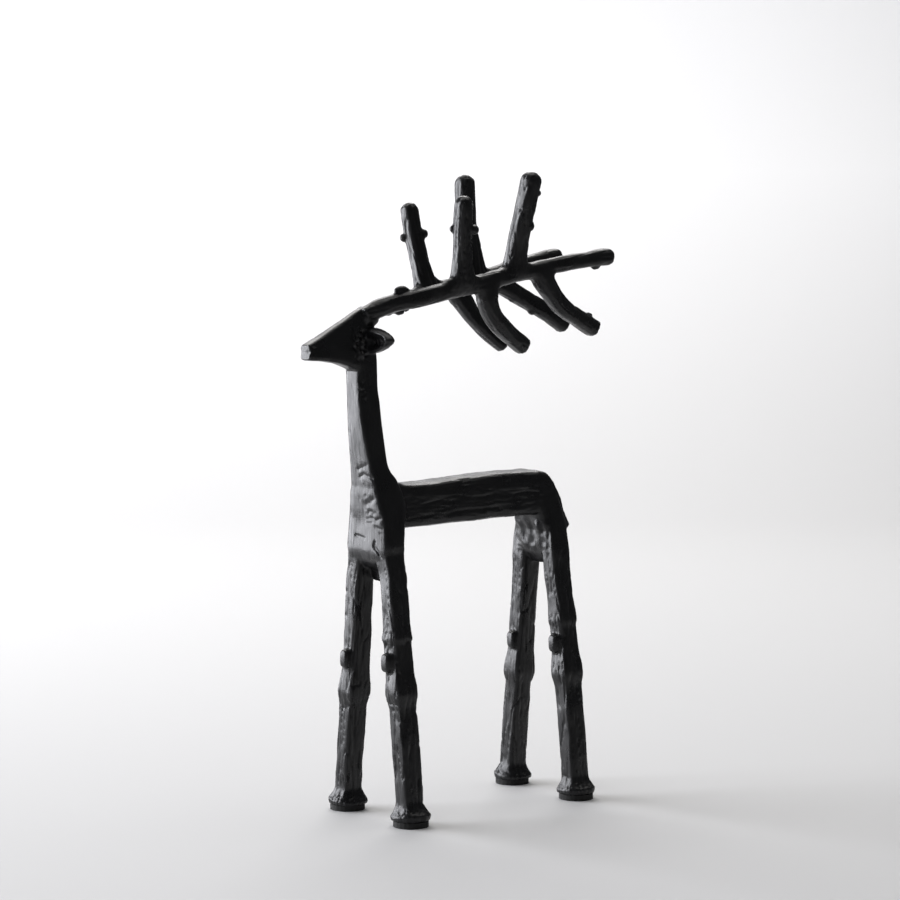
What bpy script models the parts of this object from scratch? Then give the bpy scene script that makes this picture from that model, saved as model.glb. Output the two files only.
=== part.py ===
"""Reindeer figurine: one casting that looks carved from twigs, standing on four foot pads.

Metres, +Z up. The animal faces -Y and its left side is +X. The origin is on the ground, under
the middle of the figure's box.
"""

from math import ceil, cos, exp, hypot, pi, sin

import bmesh
import bpy
import numpy as np
from mathutils import Matrix, Vector

LEFT, RIGHT = 1, -1
SIDEWAYS = Vector((1, 0, 0))
LENGTHWISE = Vector((0, 1, 0))
UPWARD = Vector((0, 0, 1))

# Driving sizes, in metres
HEIGHT = 0.330
PAD_DIAMETER = 0.0182
PAD_THICKNESS = 0.003
PAD_GAP = 0.0003
PAD_SIDES = 24

# The casting's pose and carving are shares of its height: MM is a 330th of it
MM = HEIGHT / 330
SOLE_Z = PAD_THICKNESS + PAD_GAP
NOSE_Y = -100.6 * MM
BEAM_END_Y = 84.4 * MM
MIDDLE_Y = (NOSE_Y + BEAM_END_Y) / 2

# Legs: bark-flattened square twigs that lean in and run up into the chest and the haunch
LEG_WIDTH = 10.5 * MM
LEG_DEPTH = 11.8 * MM
LEG_SQUARE = 5.0
CHEST_SQUARE = 7.0
BACK_SQUARE = 6.0
BACK_TAPER = 0.06
HAUNCH_SQUARE = 5.0
HEAD_SQUARE = 6.0
BEAM_SQUARE = 2.7
TINE_SQUARE = 2.8
DROP_SQUARE = 3.0
FRONT_FOOT_X = 27.2 * MM
REAR_FOOT_X = 26.6 * MM
FOOT_Y = 55.4 * MM
FOOT_LIP = 0.8 * MM
FOOT_FLARE = PAD_DIAMETER / 2 + FOOT_LIP
FOOT_SQUARE = 2.5
FLARE_Z = 5.2 * MM
FLARE_RISE = 7.5 * MM
SOLE_INSET = 0.35
SOLE_SPARE = 2.5 * MM
RING_SWELL = 1.15 * MM
RING_RISE = 9.0 * MM
RING_FALL = 4.0 * MM
LEFT_RING_Z = 66.4 * MM
RIGHT_RING_Z = 62.9 * MM
LEFT_KNEE_Z = 82.5 * MM
RIGHT_KNEE_Z = 80.5 * MM
SCAR_Z = 94.5 * MM
SCAR_SWELL = 0.6 * MM
SCAR_REACH = 1.8 * MM

# Antlers
BEAM_TIP_RADIUS = 4.2 * MM
FRONT_TINE_RADIUS = 4.5 * MM
REAR_TINE_RADIUS = 4.9 * MM
DROP_RADIUS = 4.6 * MM
TINE_FLARE = 3.6 * MM
DROP_FLARE = 1.8 * MM
FLARE_REACH = 5.0 * MM
CUT_BEVEL = 1.3 * MM
RIGHT_BEAM_HANG = 3.0 * MM

# Bark grooves along each side of the back: height in front, height at the rump, depth
BACK_GROOVES = (
    (167.2 * MM, 170.2 * MM, 0.8 * MM),
    (160.6 * MM, 163.6 * MM, 1.1 * MM),
    (154.6 * MM, 156.6 * MM, 1.0 * MM),
)
GROOVE_HALF_WIDTH = 1.3 * MM
GROOVE_START_Y = -42 * MM
GROOVE_END_Y = 46 * MM
GROOVE_FADE = 8 * MM
GROOVE_FACING = 0.5

# Ears, each with a dish pressed into its front along a line at one height
EAR_MIDDLE_X = 11.5 * MM
EAR_MIDDLE_Z = 244.6 * MM
DISH_START_X = 9.0 * MM
DISH_END_X = 17.0 * MM
DISH_Z = 244.4 * MM
DISH_HALF_WIDTH = 3.0 * MM
DISH_DEPTH = 2.0 * MM
DISH_BEHIND_Y = -60 * MM

# How finely limbs are drawn and fused, and how many faces are left of the casting
ROW_STEP = 1.2 * MM
FUSE_STEP = 1.05 * MM
MELT_PASSES = 3
MELT_FACTOR = 0.5
CASTING_TRIANGLES = 8800

# Colours, roughness and metallic values
CASTING_FINISH = ((0.012, 0.012, 0.013, 1.0), 0.42, 0.55)
PAD_FINISH = ((0.010, 0.010, 0.010, 1.0), 0.92, 0.0)


def material(name, finish):
    """A Principled material from a (colour, roughness, metallic) finish."""
    colour, roughness, metallic = finish
    made = bpy.data.materials.new(name)
    made.use_nodes = True
    shader = made.node_tree.nodes["Principled BSDF"]
    shader.inputs["Base Color"].default_value = colour
    shader.inputs["Roughness"].default_value = roughness
    shader.inputs["Metallic"].default_value = metallic
    return made


def add_object(name, mesh, finish):
    """A named object of one mesh, with its own material."""
    mesh.name = name
    mesh.materials.clear()
    mesh.materials.append(material(name + "_finish", finish))
    made = bpy.data.objects.new(name, mesh)
    bpy.context.scene.collection.objects.link(made)
    return made


def flow(rows):
    """Rows of numbers, the first three a place, run through smoothly with more rows between them."""
    rows = np.array(rows, float)
    padded = np.vstack([2 * rows[0] - rows[1], rows, 2 * rows[-1] - rows[-2]])
    run = []
    for i in range(1, len(rows)):
        p0, p1, p2, p3 = padded[i - 1 : i + 3]
        count = max(1, ceil(np.linalg.norm(p2[:3] - p1[:3]) / ROW_STEP))
        for t in np.arange(count) / count:
            run.append(
                0.5
                * (
                    2 * p1
                    + (p2 - p0) * t
                    + (2 * p0 - 5 * p1 + 4 * p2 - p3) * t**2
                    + (3 * p1 - p0 - 3 * p2 + p3) * t**3
                )
            )
    run.append(rows[-1])
    return np.array(run)


def section(centre, across, through, half_across, half_through, square, taper=0.0, sides=20):
    """A rounded-square ring. A square of 2 is an ellipse. Taper narrows it towards +through."""
    ring = []
    for i in range(sides):
        angle = 2 * pi * (i + 0.5) / sides
        c, s = cos(angle), sin(angle)
        u = abs(c) ** (2 / square) * (1 if c > 0 else -1)
        v = abs(s) ** (2 / square) * (1 if s > 0 else -1)
        ring.append(centre + across * (half_across * u * (1 - taper * v)) + through * (half_through * v))
    return ring


def skin(rings):
    """A closed mesh over a run of rings, each with the same number of points."""
    body = bmesh.new()
    rows = [[body.verts.new(point) for point in ring] for ring in rings]
    for low, high in zip(rows, rows[1:]):
        for i in range(len(low)):
            j = (i + 1) % len(low)
            body.faces.new((low[i], low[j], high[j], high[i]))
    body.faces.new(rows[0])
    body.faces.new(rows[-1])
    bmesh.ops.recalc_face_normals(body, faces=body.faces)
    return body


def limb(run):
    """A closed twig along rows of place, half width, half depth and squareness. Its width lies sideways."""
    places = [Vector(row[:3]) for row in run]
    rings = []
    for i, row in enumerate(run):
        along = (places[min(i + 1, len(places) - 1)] - places[max(i - 1, 0)]).normalized()
        wide = (SIDEWAYS - along * SIDEWAYS.dot(along)).normalized()
        rings.append(section(places[i], wide, along.cross(wide), row[3], row[4], row[5]))
    return skin(rings)


def length_along(run):
    """How far along the run each row is."""
    steps = np.linalg.norm(np.diff(run[:, :3], axis=0), axis=1)
    return np.concatenate([[0.0], np.cumsum(steps)])


def round_off(run, radius):
    """Close the end of a run with a dome of that radius."""
    far = length_along(run)
    start = far[-1] - radius
    body = run[far < start]
    dome = []
    for angle in np.linspace(0.0, 0.94 * pi / 2, 7):
        at = start + radius * sin(angle)
        row = np.array([np.interp(at, far, run[:, k]) for k in range(run.shape[1])])
        row[3:5] *= cos(angle)
        dome.append(row)
    return np.vstack([body, dome])


def cut_off(run, bevel):
    """End a run in a flat cut with a bevelled edge."""
    far = length_along(run)
    body = run[far < far[-1] - bevel]
    shoulder = np.array([np.interp(far[-1] - bevel, far, run[:, k]) for k in range(run.shape[1])])
    end = run[-1].copy()
    end[3:5] -= bevel
    return np.vstack([body, [shoulder, end]])


def swell(run, at, amount, before, after):
    """Thicken a run round one place, rising over before and falling over after."""
    away = length_along(run) - at
    reach = np.where(away < 0, before, after)
    gain = amount * np.exp(-((away / reach) ** 2))
    run[:, 3] += gain
    run[:, 4] += gain


def flare_root(run, amount, reach):
    """Widen the start of a run, as a branch widens where it leaves its beam."""
    gain = amount * np.exp(-length_along(run) / reach)
    run[:, 3] += gain
    run[:, 4] += gain


def knob(x, y, z, size_x, size_y, size_z):
    """A small lump: a ball of those half sizes."""
    body = bmesh.new()
    bmesh.ops.create_icosphere(body, subdivisions=2, radius=1.0)
    for v in body.verts:
        v.co = Vector((x + v.co.x * size_x, y + v.co.y * size_y, z + v.co.z * size_z)) * MM
    return body


def leg_run(side, foot_x, foot_y, lean, upper):
    """A leg's rows from under the sole, through its lean, to the rows of upper, which it ends in."""
    half = (LEG_WIDTH / 2, LEG_DEPTH / 2, LEG_SQUARE)
    rows = [(side * foot_x, foot_y, SOLE_Z - SOLE_SPARE) + half]
    for z, share, drift in lean:
        rows.append((side * foot_x * share, foot_y + drift * MM, z * MM) + half)
    for x, y, z, half_width, half_depth in upper:
        rows.append((side * x * MM, y * MM, z * MM, half_width * MM, half_depth * MM, LEG_SQUARE))
    run = flow(rows)

    ring_z = LEFT_RING_Z if side == LEFT else RIGHT_RING_Z
    swell(run, ring_z - run[0, 2], RING_SWELL, RING_FALL, RING_RISE)
    if side == LEFT:
        swell(run, SCAR_Z - run[0, 2], SCAR_SWELL, SCAR_REACH, SCAR_REACH)
    for row in run:
        above = max(0.0, row[2] - FLARE_Z) / FLARE_RISE
        below = max(0.0, FLARE_Z - row[2])
        flare = (1 - min(1.0, above)) ** 2
        row[3] += (FOOT_FLARE - LEG_WIDTH / 2) * flare - SOLE_INSET * below
        row[4] += (FOOT_FLARE - LEG_DEPTH / 2) * flare - SOLE_INSET * below
        row[5] = LEG_SQUARE + (FOOT_SQUARE - LEG_SQUARE) * flare**0.5
    return run


def legs():
    """Four legs, each with its ring and the knob on the front of its knee."""
    # height, share of the foot's distance from the middle, and drift along the body
    front_lean = [(30, 0.902, -0.2), (60, 0.764, -0.4), (90, 0.641, -0.6), (120, 0.541, -0.9)]
    rear_lean = [
        (30, 0.906, -0.2),
        (60, 0.768, -0.4),
        (90, 0.640, -0.8),
        (108, 0.552, -1.3),
        (120, 0.490, -2.0),
    ]
    # outward place, place along, height, half width and half depth where the leg joins the trunk
    front_top = [(12.3, -56.8, 133, 5.2, 5.9), (11.2, -56.8, 146, 4.9, 6.4), (8.6, -57.2, 160, 4.9, 7.0)]
    rear_top = [(11.8, 53.0, 134, 5.4, 6.2), (9.4, 52.4, 148, 4.6, 5.8), (7.6, 50.0, 160, 4.2, 5.0)]
    shapes = []
    for side in (LEFT, RIGHT):
        shapes.append(limb(leg_run(side, FRONT_FOOT_X, -FOOT_Y, front_lean, front_top)))
        shapes.append(limb(leg_run(side, REAR_FOOT_X, FOOT_Y, rear_lean, rear_top)))
        knee = (LEFT_KNEE_Z if side == LEFT else RIGHT_KNEE_Z) / MM
        shapes.append(knob(side * 17.6, -62.6, knee, 3.2, 3.6, 4.9))
        shapes.append(knob(side * 17.4, 48.4, knee, 3.2, 3.6, 4.9))
    return shapes


def neck_and_chest():
    """The two front legs close into a broad chest, which narrows up into the neck."""
    # height, whole width, front face, rear face
    levels = [
        (121.5, 15.0, -54.8, -51.2),
        (126, 24.0, -57.6, -50.6),
        (130, 30.0, -59.8, -50.2),
        (134, 33.6, -61.9, -50.0),
        (138, 34.6, -63.3, -50.0),
        (142, 34.8, -63.9, -50.2),
        (150, 32.8, -63.8, -49.0),
        (160, 28.6, -64.8, -46.6),
        (170, 24.0, -65.8, -47.4),
        (180, 19.2, -66.9, -52.6),
        (190, 16.5, -68.5, -55.2),
        (200, 14.8, -70.1, -56.8),
        (210, 12.9, -71.1, -57.6),
        (220, 11.7, -71.7, -58.8),
        (228, 12.2, -71.9, -59.2),
        (234, 12.8, -72.0, -59.6),
        (240, 12.0, -72.0, -60.0),
    ]
    rows = [
        (0, (front + rear) / 2 * MM, z * MM, wide / 2 * MM, (rear - front) / 2 * MM, CHEST_SQUARE)
        for z, wide, front, rear in levels
    ]
    return [limb(flow(rows))]


def back():
    """The bar of the body, from inside the chest to the rump."""
    # place along, belly, back, whole width
    stations = [
        (-58, 148.8, 170.8, 20.6),
        (-45, 148.8, 170.9, 21.0),
        (-30, 149.0, 171.2, 21.0),
        (-14, 149.6, 172.2, 21.0),
        (8, 150.0, 173.6, 21.6),
        (30, 150.6, 174.2, 22.0),
        (44, 150.2, 174.3, 22.6),
        (49.5, 149.5, 173.0, 22.8),
        (54.0, 149.0, 168.0, 23.0),
        (58.4, 148.0, 159.2, 23.4),
    ]
    rings = []
    for y, belly, top, wide in stations:
        centre = Vector((0, y, (belly + top) / 2)) * MM
        half = (top - belly) / 2 * MM
        rings.append(section(centre, SIDEWAYS, UPWARD, wide / 2 * MM, half, BACK_SQUARE, BACK_TAPER))
    return [skin(rings)]


def haunch():
    """The rump's block over the rear legs, with the small lip behind it and lumps on its front."""
    # height, front face, rear face, whole width
    levels = [
        (124.0, 49.6, 56.0, 20.0),
        (128, 47.6, 58.6, 28.0),
        (132, 46.6, 59.2, 31.5),
        (137, 46.0, 60.0, 30.5),
        (142.5, 45.5, 60.9, 29.0),
        (144.5, 44.6, 63.2, 28.0),
        (150, 42.6, 61.4, 25.5),
        (158, 40.6, 58.4, 23.4),
        (166, 40.0, 54.6, 21.6),
    ]
    rings = []
    for z, front, rear, wide in levels:
        centre = Vector((0, (front + rear) / 2, z)) * MM
        half_depth = (rear - front) / 2 * MM
        rings.append(section(centre, SIDEWAYS, LENGTHWISE, wide / 2 * MM, half_depth, HAUNCH_SQUARE))
    lumps = [knob(7.6, 45.6, 146.0, 2.6, 2.2, 4.6), knob(-1.5, 45.8, 150.0, 3.0, 2.0, 3.2)]
    return [skin(rings)] + lumps


def head():
    """A wedge of a head with a flat forehead, cut square across the nose, and its brow under the beams."""
    # place along, underside, top, whole width, taper towards the top
    stations = [
        (-100.5, 235.8, 242.6, 7.6, 0.0),
        (-99.7, 235.2, 243.3, 8.6, 0.05),
        (-96.5, 235.0, 245.0, 9.2, 0.10),
        (-90, 234.6, 248.4, 9.4, 0.16),
        (-82, 233.4, 252.6, 9.6, 0.24),
        (-75, 231.0, 256.4, 9.8, 0.30),
        (-69, 228.6, 260.0, 10.0, 0.34),
        (-64.5, 229.5, 262.0, 10.2, 0.34),
        (-61.8, 233.5, 260.6, 9.8, 0.30),
        (-60.2, 240.5, 257.0, 8.6, 0.26),
    ]
    rings = []
    for y, low, high, wide, taper in stations:
        centre = Vector((0, y, (low + high) / 2)) * MM
        half = (high - low) / 2 * MM
        rings.append(section(centre, SIDEWAYS, UPWARD, wide / 2 * MM, half, HEAD_SQUARE, taper))
    brows = [knob(side * 4.0, -62.4, 256.6, 3.2, 4.4, 5.2) for side in (LEFT, RIGHT)]
    return [skin(rings)] + brows


def ears():
    """Two thick leaves that stand out sideways from the head."""
    # outward place and height round the leaf, from the top of its root over its tip
    outline = [
        (2.0, 250.9),
        (7.4, 251.3),
        (12.2, 250.6),
        (16.6, 249.3),
        (20.6, 247.4),
        (22.9, 245.2),
        (21.4, 243.2),
        (18.0, 241.2),
        (14.0, 239.6),
        (8.6, 238.4),
        (2.0, 238.0),
    ]
    # place along and share of the leaf's size, from its front face to its back
    slices = [(-66.9, 0.80), (-66.2, 0.90), (-64.6, 0.98), (-62.4, 1.0), (-60.9, 0.92)]
    edge = flow([(x * MM, 0.0, z * MM) for x, z in outline])
    shapes = []
    for side in (LEFT, RIGHT):
        rings = []
        for y, share in slices:
            ring = []
            for x, _, z in edge:
                across = EAR_MIDDLE_X + (x - EAR_MIDDLE_X) * share
                ring.append(Vector((side * across, y * MM, EAR_MIDDLE_Z + (z - EAR_MIDDLE_Z) * share)))
            rings.append(ring)
        shapes.append(skin(rings))
    return shapes


def beam(side):
    """The antler's main beam from the forehead to its tip behind. The right one hangs lower in front."""
    # outward place, place along, height, radius
    spine = [
        (3.0, -66.0, 257.4, 3.6),
        (4.4, -59.5, 260.4, 4.4),
        (6.4, -49.2, 263.6, 4.6),
        (9.2, -38.4, 265.4, 4.7),
        (12.4, -22.5, 269.0, 4.6),
        (14.6, -4.7, 272.2, 4.7),
        (15.4, 15.3, 276.8, 4.7),
        (16.3, 31.3, 279.4, 4.5),
        (17.8, 47.9, 282.6, 4.3),
        (19.6, 66.4, 285.1, 4.1),
        (20.8, 76.0, 286.4, 4.5),
        (21.4, BEAM_END_Y / MM, 286.8, 4.5),
    ]
    rows = []
    for x, y, z, radius in spine:
        hang = 0.0
        if side == RIGHT:
            hang = RIGHT_BEAM_HANG * min(1.0, max(0.0, (70 - y) / 45)) * min(1.0, max(0.0, (y + 70) / 10))
        rows.append((side * x * MM, y * MM, z * MM - hang, radius * MM, radius * MM, BEAM_SQUARE))
    return limb(round_off(flow(rows), BEAM_TIP_RADIUS))


def branch(side, points, radius, flare, square):
    """Rows along a branch, of one radius but for the flare at its root."""
    rows = [(side * x * MM, y * MM, z * MM, radius, radius, square) for x, y, z in points]
    run = flow(rows)
    flare_root(run, flare, FLARE_REACH)
    return run


def antlers():
    """Two beams with two tines up and two curving down each, and the buds along them."""
    # outward place, place along, height, from each tine's root inside its beam to its end
    front_tine = {
        LEFT: [(14.3, -11.5, 269.5), (16.6, -13.6, 283.0), (19.9, -16.4, 300.5), (22.9, -17.6, 317.6)],
        RIGHT: [(13.6, -12.8, 267.5), (16.2, -15.8, 282.5), (20.3, -18.0, 302.0), (22.9, -18.2, 315.0)],
    }
    rear_tine = {
        LEFT: [(15.3, 21.8, 277.5), (16.8, 21.8, 290.0), (20.8, 21.8, 303.0), (27.9, 23.6, 330.3)],
        RIGHT: [(15.2, 21.0, 273.5), (17.0, 18.8, 290.0), (20.6, 18.3, 305.5), (27.5, 22.8, 330.0)],
    }
    front_drop = {
        LEFT: [(15, 3, 273), (14.2, 4.6, 263.5), (12.6, 10.6, 254.8), (10.2, 22, 246.6), (8, 34.4, 239.4)],
        RIGHT: [(15, 6, 271), (14.6, 11.2, 263.6), (13.2, 15.6, 257.0), (11, 23.2, 249), (8, 34.6, 239.7)],
    }
    rear_drop = {
        LEFT: [(17, 37, 280), (16.6, 43, 271), (15, 53, 261.6), (13.2, 66, 254.8), (11.9, 80.6, 248.2)],
        RIGHT: [(16.6, 31, 276), (16.6, 43, 270), (15.2, 57, 262.8), (13.2, 69, 256.4), (11.9, 80, 249.2)],
    }
    # outward place, place along, height, and half sizes of each bud
    buds = {
        LEFT: [
            (17.0, -19.8, 300.8, 2.2, 2.4, 2.3),
            (23.6, -11.7, 300.4, 2.4, 2.6, 2.8),
            (24.0, 25.4, 302.6, 2.0, 2.2, 2.6),
            (27.6, 27.4, 319.6, 1.4, 1.6, 2.0),
            (20.2, 73.4, 281.6, 2.0, 2.8, 1.8),
            (14.6, -20.5, 273.0, 3.0, 3.8, 3.0),
            (7.6, -45.8, 269.4, 2.4, 5.0, 2.8),
            (12.2, 75.3, 256.7, 1.8, 2.6, 2.0),
        ],
        RIGHT: [
            (22.6, -21.6, 296.6, 2.2, 2.2, 2.2),
            (16.6, -13.6, 298.6, 2.4, 2.8, 2.8),
            (24.0, 22.6, 317.0, 1.4, 2.0, 2.0),
            (7.4, -36.4, 258.6, 2.2, 3.4, 2.0),
            (13.8, -8.0, 273.2, 3.0, 3.6, 3.2),
            (16.0, 46.0, 264.4, 2.0, 2.4, 2.0),
            (14.6, 59.0, 257.8, 2.0, 3.0, 2.2),
            (10.4, 25.6, 245.4, 2.0, 2.4, 1.8),
        ],
    }
    shapes = []
    for side in (LEFT, RIGHT):
        shapes.append(beam(side))
        for tine, radius in ((front_tine, FRONT_TINE_RADIUS), (rear_tine, REAR_TINE_RADIUS)):
            run = branch(side, tine[side], radius, TINE_FLARE, TINE_SQUARE)
            shapes.append(limb(round_off(run, radius)))
        for drop in (front_drop, rear_drop):
            run = branch(side, drop[side], DROP_RADIUS, DROP_FLARE, DROP_SQUARE)
            shapes.append(limb(cut_off(run, CUT_BEVEL)))
        shapes += [knob(side * x, y, z, a, b, c) for x, y, z, a, b, c in buds[side]]
    return shapes


def fuse(shapes):
    """One closed skin round all the shapes, with soft fillets where they meet."""
    whole = bmesh.new()
    for shape in shapes:
        piece = bpy.data.meshes.new("piece")
        shape.to_mesh(piece)
        shape.free()
        whole.from_mesh(piece)
        bpy.data.meshes.remove(piece)
    mesh = bpy.data.meshes.new("twigs")
    whole.to_mesh(mesh)
    whole.free()

    twigs = bpy.data.objects.new("twigs", mesh)
    bpy.context.scene.collection.objects.link(twigs)
    merge = twigs.modifiers.new("fuse", "REMESH")
    merge.mode = "VOXEL"
    merge.voxel_size = FUSE_STEP
    melt = twigs.modifiers.new("melt", "SMOOTH")
    melt.factor = MELT_FACTOR
    melt.iterations = MELT_PASSES
    fused = baked(twigs)
    bpy.data.objects.remove(twigs)
    return fused


def baked(thing):
    """The mesh an object has once its modifiers have worked."""
    bpy.context.view_layer.update()
    graph = bpy.context.evaluated_depsgraph_get()
    return bpy.data.meshes.new_from_object(thing.evaluated_get(graph), depsgraph=graph)


def carve_back(mesh):
    """Press the bark grooves into both sides of the back."""
    sideways = [abs(v.normal.x) for v in mesh.vertices]
    for v, facing in zip(mesh.vertices, sideways):
        x, y, z = v.co
        inside = min(y - GROOVE_START_Y, GROOVE_END_Y - y) / GROOVE_FADE
        if inside <= 0 or facing < GROOVE_FACING:
            continue
        share = (y - GROOVE_START_Y) / (GROOVE_END_Y - GROOVE_START_Y)
        for front_z, rump_z, depth in BACK_GROOVES:
            away = (z - front_z - (rump_z - front_z) * share) / GROOVE_HALF_WIDTH
            v.co.x -= (1 if x > 0 else -1) * depth * min(1.0, inside) * exp(-away * away)


def dish_ears(mesh):
    """Press a dish into the front of each ear."""
    forward = [-v.normal.y for v in mesh.vertices]
    for v, facing in zip(mesh.vertices, forward):
        if facing <= 0 or v.co.y > DISH_BEHIND_Y:
            continue
        out = abs(v.co.x)
        beside = max(0.0, DISH_START_X - out, out - DISH_END_X)
        away = hypot(beside, v.co.z - DISH_Z) / DISH_HALF_WIDTH
        v.co.y += DISH_DEPTH * facing * exp(-away * away)


def trim_soles(mesh):
    """Cut the feet flat at the sole, just above the pads, and close the cuts."""
    body = bmesh.new()
    body.from_mesh(mesh)
    bmesh.ops.bisect_plane(
        body,
        geom=body.verts[:] + body.edges[:] + body.faces[:],
        dist=1e-7,
        plane_co=(0, 0, SOLE_Z),
        plane_no=(0, 0, 1),
        clear_inner=True,
    )
    rims = [edge for edge in body.edges if edge.is_boundary]
    bmesh.ops.holes_fill(body, edges=rims, sides=0)
    bmesh.ops.recalc_face_normals(body, faces=body.faces)
    body.to_mesh(mesh)
    body.free()


def casting():
    """The whole animal as one solid."""
    shapes = legs() + neck_and_chest() + back() + haunch() + head() + ears() + antlers()
    mesh = fuse(shapes)
    carve_back(mesh)
    dish_ears(mesh)
    mesh.transform(Matrix.Translation((0, -MIDDLE_Y, 0)))
    trim_soles(mesh)
    made = add_object("reindeer_casting", mesh, CASTING_FINISH)
    triangles = sum(len(face.vertices) - 2 for face in mesh.polygons)
    thin = made.modifiers.new("thin", "DECIMATE")
    thin.ratio = min(1.0, CASTING_TRIANGLES / triangles)
    return made


def pads():
    """A round pad under each foot."""
    middles = {
        "front_left_foot_pad": (FRONT_FOOT_X, -FOOT_Y),
        "front_right_foot_pad": (-FRONT_FOOT_X, -FOOT_Y),
        "rear_left_foot_pad": (REAR_FOOT_X, FOOT_Y),
        "rear_right_foot_pad": (-REAR_FOOT_X, FOOT_Y),
    }
    for name, (x, y) in middles.items():
        disc = bmesh.new()
        bmesh.ops.create_cone(
            disc,
            cap_ends=True,
            segments=PAD_SIDES,
            radius1=PAD_DIAMETER / 2,
            radius2=PAD_DIAMETER / 2,
            depth=PAD_THICKNESS,
        )
        mesh = bpy.data.meshes.new(name)
        disc.to_mesh(mesh)
        disc.free()
        pad = add_object(name, mesh, PAD_FINISH)
        pad.location = (x, y - MIDDLE_Y, PAD_THICKNESS / 2)


def main():
    for thing in list(bpy.data.objects):
        bpy.data.objects.remove(thing)
    casting()
    pads()


main()
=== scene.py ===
"""The reindeer figurine's looks: its bark relief, finish, floor, light and camera."""

from math import atan, ceil, cos, pi, radians, sin

import bmesh
import bpy
import numpy as np
from mathutils import Matrix, Vector


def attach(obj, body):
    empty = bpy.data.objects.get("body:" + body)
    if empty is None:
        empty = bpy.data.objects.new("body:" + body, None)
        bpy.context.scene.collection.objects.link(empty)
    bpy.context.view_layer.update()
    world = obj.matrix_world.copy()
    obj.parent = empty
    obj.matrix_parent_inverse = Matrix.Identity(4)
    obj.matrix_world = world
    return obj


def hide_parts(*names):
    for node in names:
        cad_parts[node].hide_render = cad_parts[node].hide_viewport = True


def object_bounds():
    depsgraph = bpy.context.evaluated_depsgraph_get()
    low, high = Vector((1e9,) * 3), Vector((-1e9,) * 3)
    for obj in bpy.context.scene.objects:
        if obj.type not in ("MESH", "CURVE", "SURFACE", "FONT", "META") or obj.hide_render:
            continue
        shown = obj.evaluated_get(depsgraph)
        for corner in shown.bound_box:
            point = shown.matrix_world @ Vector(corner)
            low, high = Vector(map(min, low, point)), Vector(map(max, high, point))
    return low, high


LEFT, RIGHT = 1, -1
SIDEWAYS = Vector((1, 0, 0))
LENGTHWISE = Vector((0, 1, 0))
UPWARD = Vector((0, 0, 1))

# Driving sizes, in metres
HEIGHT = 0.330
PAD_DIAMETER = 0.0182
PAD_THICKNESS = 0.003
PAD_GAP = 0.0003

# The casting's pose and carving are shares of its height: MM is a 330th of it
MM = HEIGHT / 330
SOLE_Z = PAD_THICKNESS + PAD_GAP
NOSE_Y = -100.6 * MM
BEAM_END_Y = 84.4 * MM
MIDDLE_Y = (NOSE_Y + BEAM_END_Y) / 2

# How square each section is: 2 is an ellipse, and a larger number is boxier
ROUND = 2.0
FOOT_SQUARE = 2.5
LEG_SQUARE = 6.5
KNEE_SQUARE = 4.5
CHEST_SQUARE = 7.0
BACK_SQUARE = 6.0
HAUNCH_SQUARE = 6.0
HEAD_SQUARE = 6.0
BEAM_SQUARE = 2.7
TINE_SQUARE = 2.8
DROP_SQUARE = 3.0

# The back narrows upwards by this share
BACK_TAPER = 0.06

# Legs: bark-flattened square twigs that lean in and run up into the chest and the haunch
LEG_WIDTH = 10.5 * MM
LEG_DEPTH = 11.8 * MM
LEG_BARK_TOP = 130 * MM
FRONT_FOOT_X = 27.2 * MM
REAR_FOOT_X = 26.6 * MM
FOOT_Y = 55.4 * MM

# The flare of each foot, which ends in a lip just wider than its pad
FOOT_LIP = 0.8 * MM
FOOT_FLARE = PAD_DIAMETER / 2 + FOOT_LIP
FLARE_Z = 5.2 * MM
FLARE_RISE = 7.5 * MM
SOLE_INSET = 0.35
SOLE_SPARE = 2.5 * MM

# The ring on each leg, the knobs on its knee with places and sizes in mm, and the left scar
RING_SWELL = 1.15 * MM
RING_RISE = 9.0 * MM
RING_FALL = 4.0 * MM
LEFT_RING_Z = 66.4 * MM
RIGHT_RING_Z = 62.9 * MM
LEFT_KNEE_Z = 82.5 * MM
RIGHT_KNEE_Z = 80.5 * MM
KNEE_KNOBS = ((17.6, -62.2), (17.4, 48.8))
KNEE_KNOB_SIZE = (3.0, 3.4, 4.8)
SCAR_Z = 94.5 * MM
SCAR_SWELL = 0.6 * MM
SCAR_DROP = 1.6 * MM
SCAR_RISE = 4.5 * MM

# Brows, in mm, and the antlers that grow from them
BROW_PLACE = (4.0, -62.4, 256.6)
BROW_SIZE = (3.2, 4.4, 5.2)
BEAM_TIP_RADIUS = 4.2 * MM
FRONT_TINE_RADIUS = 4.5 * MM
REAR_TINE_RADIUS = 4.9 * MM
DROP_RADIUS = 4.6 * MM
CUT_BEVEL = 1.3 * MM

# How much each tine widens where it leaves its beam, mostly along the beam
LEFT_FRONT_FLARE = 4.4 * MM
RIGHT_FRONT_FLARE = 2.6 * MM
REAR_TINE_FLARE = 2.6 * MM
DROP_FLARE = 2.0 * MM
FLARE_REACH = 5.5 * MM
FLARE_ROOT = 4.5 * MM
FLARE_SIDEWAYS = 0.15

# How much lower the right beam hangs, and where along it, in mm, that comes and goes
RIGHT_BEAM_HANG = 3.0 * MM
HANG_START = -70
HANG_RISE = 10
HANG_END = 70
HANG_FADE = 45

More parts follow.
